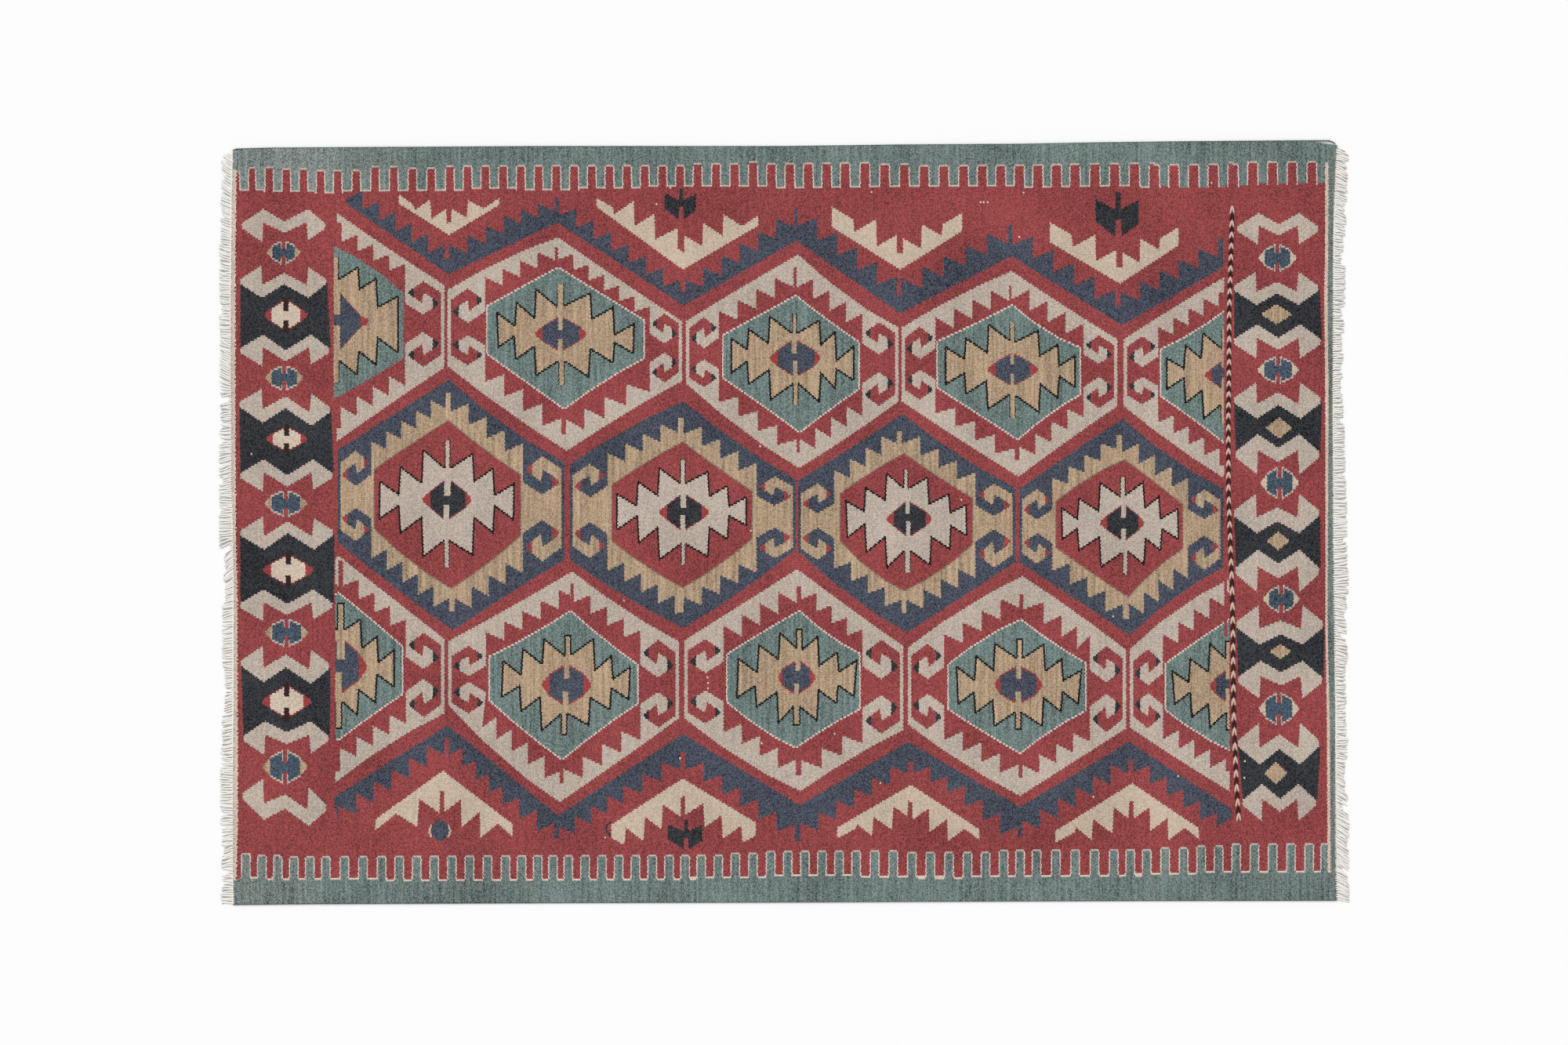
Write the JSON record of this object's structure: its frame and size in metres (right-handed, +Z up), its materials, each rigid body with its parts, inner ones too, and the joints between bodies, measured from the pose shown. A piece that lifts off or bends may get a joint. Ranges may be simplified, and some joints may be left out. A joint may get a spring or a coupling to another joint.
{
  "type": "flat-woven kilim rug",
  "caption": "Flat-woven wool rug with hexagon medallions, comb borders, a raised two-colour twined line and a short warp fringe at both ends; lies flat on a floor.",
  "frame": {"origin": "middle of the whole rug's footprint, fringes included, on the floor", "axes": "+X along the warps from one fringe to the other, +Y across the warps towards the back long edge, +Z up out of the face"},
  "size_m": [1.802, 1.2176, 0.0043],
  "materials": {
    "woven_wool": "matt weft-faced wool, ribbed along the warps",
    "warp_yarn": "undyed matt yarn, cut short"
  },
  "bodies": {
    "root": {"kilim_cloth": "woven_wool", "fringe_left": "warp_yarn", "fringe_right": "warp_yarn"}
  },
  "joints": []
}
